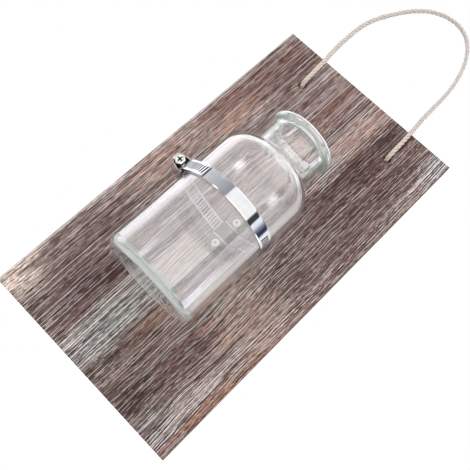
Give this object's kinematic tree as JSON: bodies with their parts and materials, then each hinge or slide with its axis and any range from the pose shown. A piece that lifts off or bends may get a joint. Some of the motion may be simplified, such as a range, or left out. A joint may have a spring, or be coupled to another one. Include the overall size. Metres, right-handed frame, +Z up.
{
  "type": "hanging wall planter",
  "caption": "Glass bottle held upright on a rustic wooden hanging board by a slotted steel band clamp, with a rope loop that hangs the board on a wall.",
  "frame": {"origin": "middle of the board's back face, on the wall", "axes": "+Z up along the board, +Y into the wall, +X to the right seen from the front"},
  "size_m": [0.175, 0.0975, 0.4364],
  "materials": {
    "board_wood": "brushed, stained brown with pale grain",
    "jute_rope": "twisted natural fibre",
    "fastener_steel": "bright plated",
    "band_steel": "polished stainless",
    "housing_steel": "plated, slightly dull",
    "clear_glass": "clear, smooth"
  },
  "bodies": {
    "board": {"backing_board": "board_wood", "rope_loop": "jute_rope", "rope_knot_left": "jute_rope", "rope_knot_right": "jute_rope", "band_saddle": "fastener_steel", "saddle_screw_lower": "fastener_steel", "saddle_screw_upper": "fastener_steel", "clamp_band": "band_steel", "worm_housing": "housing_steel", "housing_plate": "band_steel"},
    "worm": {"worm_screw": "housing_steel"},
    "tail": {"band_tail": "band_steel"},
    "bottle": {"glass_bottle": "clear_glass"}
  },
  "joints": [
    {"name": "worm_turn", "type": "hinge", "parent": "board", "child": "worm", "pos_m": [-0.04627, -0.06205, -0.0142], "axis": [0.0872, -0.9962, 0], "range_deg": [0, 630]},
    {"name": "tail_feed", "type": "hinge", "parent": "board", "child": "tail", "pos_m": [0, -0.058, -0.0142], "axis": [0, 0, -1], "range_deg": [0, 6.23]},
    {"name": "bottle_lift", "type": "slide", "parent": "board", "child": "bottle", "axis": [0, 0, 1], "range_m": [0, 0.095]}
  ],
  "couplings": [
    {"joint": "tail_feed", "follows": "worm_turn", "ratio": 0.0098773}
  ]
}
